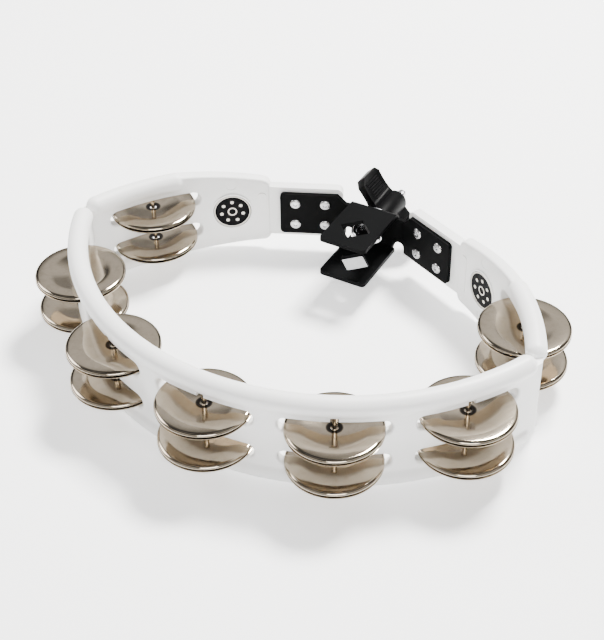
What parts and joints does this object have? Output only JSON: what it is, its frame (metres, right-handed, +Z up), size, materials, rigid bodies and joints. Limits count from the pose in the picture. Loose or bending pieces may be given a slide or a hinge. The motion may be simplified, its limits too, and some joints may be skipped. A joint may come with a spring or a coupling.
{
  "type": "tambourine",
  "caption": "C-shaped moulded tambourine with two rows of dished jingle pairs on pins and a pressed steel rod clamp with eye bolt and wing nut.",
  "frame": {"origin": "on the axis of the clamped rod, level with the middle of the ring", "axes": "+Z up along the rod, +X to the right, +Y from the ring towards the wing nut"},
  "size_m": [0.2904, 0.2553, 0.0586],
  "materials": {
    "plastic_white": "satin moulded",
    "bracket_black": "satin black coat",
    "badge_black": "gloss",
    "rivet_steel": "bright",
    "zinc_steel": "bright zinc",
    "pin_steel": "plain",
    "jingle_nickel": "polished nickel",
    "bolt_chrome": "polished",
    "nut_plastic": "satin"
  },
  "bodies": {
    "ring": {"frame": "plastic_white", "mount_bracket": "bracket_black", "badge_right": "badge_black", "badge_left": "badge_black", "right_rivets": "rivet_steel", "left_rivets": "rivet_steel", "right_rivet_mandrels": "rivet_steel", "left_rivet_mandrels": "rivet_steel", "flat_washer": "zinc_steel", "jingle_pin_1": "pin_steel", "jingle_pin_2": "pin_steel", "jingle_pin_3": "pin_steel", "jingle_pin_4": "pin_steel", "jingle_pin_5": "pin_steel", "jingle_pin_6": "pin_steel", "jingle_pin_7": "pin_steel"},
    "jingle_1_high_bottom": {"jingle_1_high_bottom": "jingle_nickel"},
    "jingle_1_high_top": {"jingle_1_high_top": "jingle_nickel"},
    "jingle_1_low_bottom": {"jingle_1_low_bottom": "jingle_nickel"},
    "jingle_1_low_top": {"jingle_1_low_top": "jingle_nickel"},
    "jingle_2_high_bottom": {"jingle_2_high_bottom": "jingle_nickel"},
    "jingle_2_high_top": {"jingle_2_high_top": "jingle_nickel"},
    "jingle_2_low_bottom": {"jingle_2_low_bottom": "jingle_nickel"},
    "jingle_2_low_top": {"jingle_2_low_top": "jingle_nickel"},
    "jingle_3_high_bottom": {"jingle_3_high_bottom": "jingle_nickel"},
    "jingle_3_high_top": {"jingle_3_high_top": "jingle_nickel"},
    "jingle_3_low_bottom": {"jingle_3_low_bottom": "jingle_nickel"},
    "jingle_3_low_top": {"jingle_3_low_top": "jingle_nickel"},
    "jingle_4_high_bottom": {"jingle_4_high_bottom": "jingle_nickel"},
    "jingle_4_high_top": {"jingle_4_high_top": "jingle_nickel"},
    "jingle_4_low_bottom": {"jingle_4_low_bottom": "jingle_nickel"},
    "jingle_4_low_top": {"jingle_4_low_top": "jingle_nickel"},
    "jingle_5_high_bottom": {"jingle_5_high_bottom": "jingle_nickel"},
    "jingle_5_high_top": {"jingle_5_high_top": "jingle_nickel"},
    "jingle_5_low_bottom": {"jingle_5_low_bottom": "jingle_nickel"},
    "jingle_5_low_top": {"jingle_5_low_top": "jingle_nickel"},
    "jingle_6_high_bottom": {"jingle_6_high_bottom": "jingle_nickel"},
    "jingle_6_high_top": {"jingle_6_high_top": "jingle_nickel"},
    "jingle_6_low_bottom": {"jingle_6_low_bottom": "jingle_nickel"},
    "jingle_6_low_top": {"jingle_6_low_top": "jingle_nickel"},
    "jingle_7_high_bottom": {"jingle_7_high_bottom": "jingle_nickel"},
    "jingle_7_high_top": {"jingle_7_high_top": "jingle_nickel"},
    "jingle_7_low_bottom": {"jingle_7_low_bottom": "jingle_nickel"},
    "jingle_7_low_top": {"jingle_7_low_top": "jingle_nickel"},
    "wing_nut": {"wing_nut": "nut_plastic", "wing_nut_insert": "zinc_steel"},
    "eye_bolt": {"eye_bolt": "bolt_chrome"}
  },
  "joints": [
    {"name": "jingle_1_high_bottom_slide", "type": "slide", "parent": "ring", "child": "jingle_1_high_bottom", "axis": [0, 0, 1], "range_m": [0, 0.002]},
    {"name": "jingle_1_high_top_slide", "type": "slide", "parent": "jingle_1_high_bottom", "child": "jingle_1_high_top", "axis": [0, 0, 1], "range_m": [0, 0.0019]},
    {"name": "jingle_1_low_bottom_slide", "type": "slide", "parent": "ring", "child": "jingle_1_low_bottom", "axis": [0, 0, 1], "range_m": [0, 0.002]},
    {"name": "jingle_1_low_top_slide", "type": "slide", "parent": "jingle_1_low_bottom", "child": "jingle_1_low_top", "axis": [0, 0, 1], "range_m": [0, 0.0019]},
    {"name": "jingle_2_high_bottom_slide", "type": "slide", "parent": "ring", "child": "jingle_2_high_bottom", "axis": [0, 0, 1], "range_m": [0, 0.002]},
    {"name": "jingle_2_high_top_slide", "type": "slide", "parent": "jingle_2_high_bottom", "child": "jingle_2_high_top", "axis": [0, 0, 1], "range_m": [0, 0.0019]},
    {"name": "jingle_2_low_bottom_slide", "type": "slide", "parent": "ring", "child": "jingle_2_low_bottom", "axis": [0, 0, 1], "range_m": [0, 0.002]},
    {"name": "jingle_2_low_top_slide", "type": "slide", "parent": "jingle_2_low_bottom", "child": "jingle_2_low_top", "axis": [0, 0, 1], "range_m": [0, 0.0019]},
    {"name": "jingle_3_high_bottom_slide", "type": "slide", "parent": "ring", "child": "jingle_3_high_bottom", "axis": [0, 0, 1], "range_m": [0, 0.002]},
    {"name": "jingle_3_high_top_slide", "type": "slide", "parent": "jingle_3_high_bottom", "child": "jingle_3_high_top", "axis": [0, 0, 1], "range_m": [0, 0.0019]},
    {"name": "jingle_3_low_bottom_slide", "type": "slide", "parent": "ring", "child": "jingle_3_low_bottom", "axis": [0, 0, 1], "range_m": [0, 0.002]},
    {"name": "jingle_3_low_top_slide", "type": "slide", "parent": "jingle_3_low_bottom", "child": "jingle_3_low_top", "axis": [0, 0, 1], "range_m": [0, 0.0019]},
    {"name": "jingle_4_high_bottom_slide", "type": "slide", "parent": "ring", "child": "jingle_4_high_bottom", "axis": [0, 0, 1], "range_m": [0, 0.002]},
    {"name": "jingle_4_high_top_slide", "type": "slide", "parent": "jingle_4_high_bottom", "child": "jingle_4_high_top", "axis": [0, 0, 1], "range_m": [0, 0.0019]},
    {"name": "jingle_4_low_bottom_slide", "type": "slide", "parent": "ring", "child": "jingle_4_low_bottom", "axis": [0, 0, 1], "range_m": [0, 0.002]},
    {"name": "jingle_4_low_top_slide", "type": "slide", "parent": "jingle_4_low_bottom", "child": "jingle_4_low_top", "axis": [0, 0, 1], "range_m": [0, 0.0019]},
    {"name": "jingle_5_high_bottom_slide", "type": "slide", "parent": "ring", "child": "jingle_5_high_bottom", "axis": [0, 0, 1], "range_m": [0, 0.002]},
    {"name": "jingle_5_high_top_slide", "type": "slide", "parent": "jingle_5_high_bottom", "child": "jingle_5_high_top", "axis": [0, 0, 1], "range_m": [0, 0.0019]},
    {"name": "jingle_5_low_bottom_slide", "type": "slide", "parent": "ring", "child": "jingle_5_low_bottom", "axis": [0, 0, 1], "range_m": [0, 0.002]},
    {"name": "jingle_5_low_top_slide", "type": "slide", "parent": "jingle_5_low_bottom", "child": "jingle_5_low_top", "axis": [0, 0, 1], "range_m": [0, 0.0019]},
    {"name": "jingle_6_high_bottom_slide", "type": "slide", "parent": "ring", "child": "jingle_6_high_bottom", "axis": [0, 0, 1], "range_m": [0, 0.002]},
    {"name": "jingle_6_high_top_slide", "type": "slide", "parent": "jingle_6_high_bottom", "child": "jingle_6_high_top", "axis": [0, 0, 1], "range_m": [0, 0.0019]},
    {"name": "jingle_6_low_bottom_slide", "type": "slide", "parent": "ring", "child": "jingle_6_low_bottom", "axis": [0, 0, 1], "range_m": [0, 0.002]},
    {"name": "jingle_6_low_top_slide", "type": "slide", "parent": "jingle_6_low_bottom", "child": "jingle_6_low_top", "axis": [0, 0, 1], "range_m": [0, 0.0019]},
    {"name": "jingle_7_high_bottom_slide", "type": "slide", "parent": "ring", "child": "jingle_7_high_bottom", "axis": [0, 0, 1], "range_m": [0, 0.002]},
    {"name": "jingle_7_high_top_slide", "type": "slide", "parent": "jingle_7_high_bottom", "child": "jingle_7_high_top", "axis": [0, 0, 1], "range_m": [0, 0.0019]},
    {"name": "jingle_7_low_bottom_slide", "type": "slide", "parent": "ring", "child": "jingle_7_low_bottom", "axis": [0, 0, 1], "range_m": [0, 0.002]},
    {"name": "jingle_7_low_top_slide", "type": "slide", "parent": "jingle_7_low_bottom", "child": "jingle_7_low_top", "axis": [0, 0, 1], "range_m": [0, 0.0019]},
    {"name": "wing_nut_turn", "type": "hinge", "parent": "ring", "child": "wing_nut", "pos_m": [0, 0.04, 0], "axis": [0, -1, 0], "range_deg": [-5670, 0]},
    {"name": "eye_bolt_draw", "type": "slide", "parent": "ring", "child": "eye_bolt", "axis": [0, 1, 0], "range_m": [-0.0158, 0.00005]}
  ],
  "couplings": [
    {"joint": "eye_bolt_draw", "follows": "wing_nut_turn", "m_per_rad": 0.00015915}
  ]
}
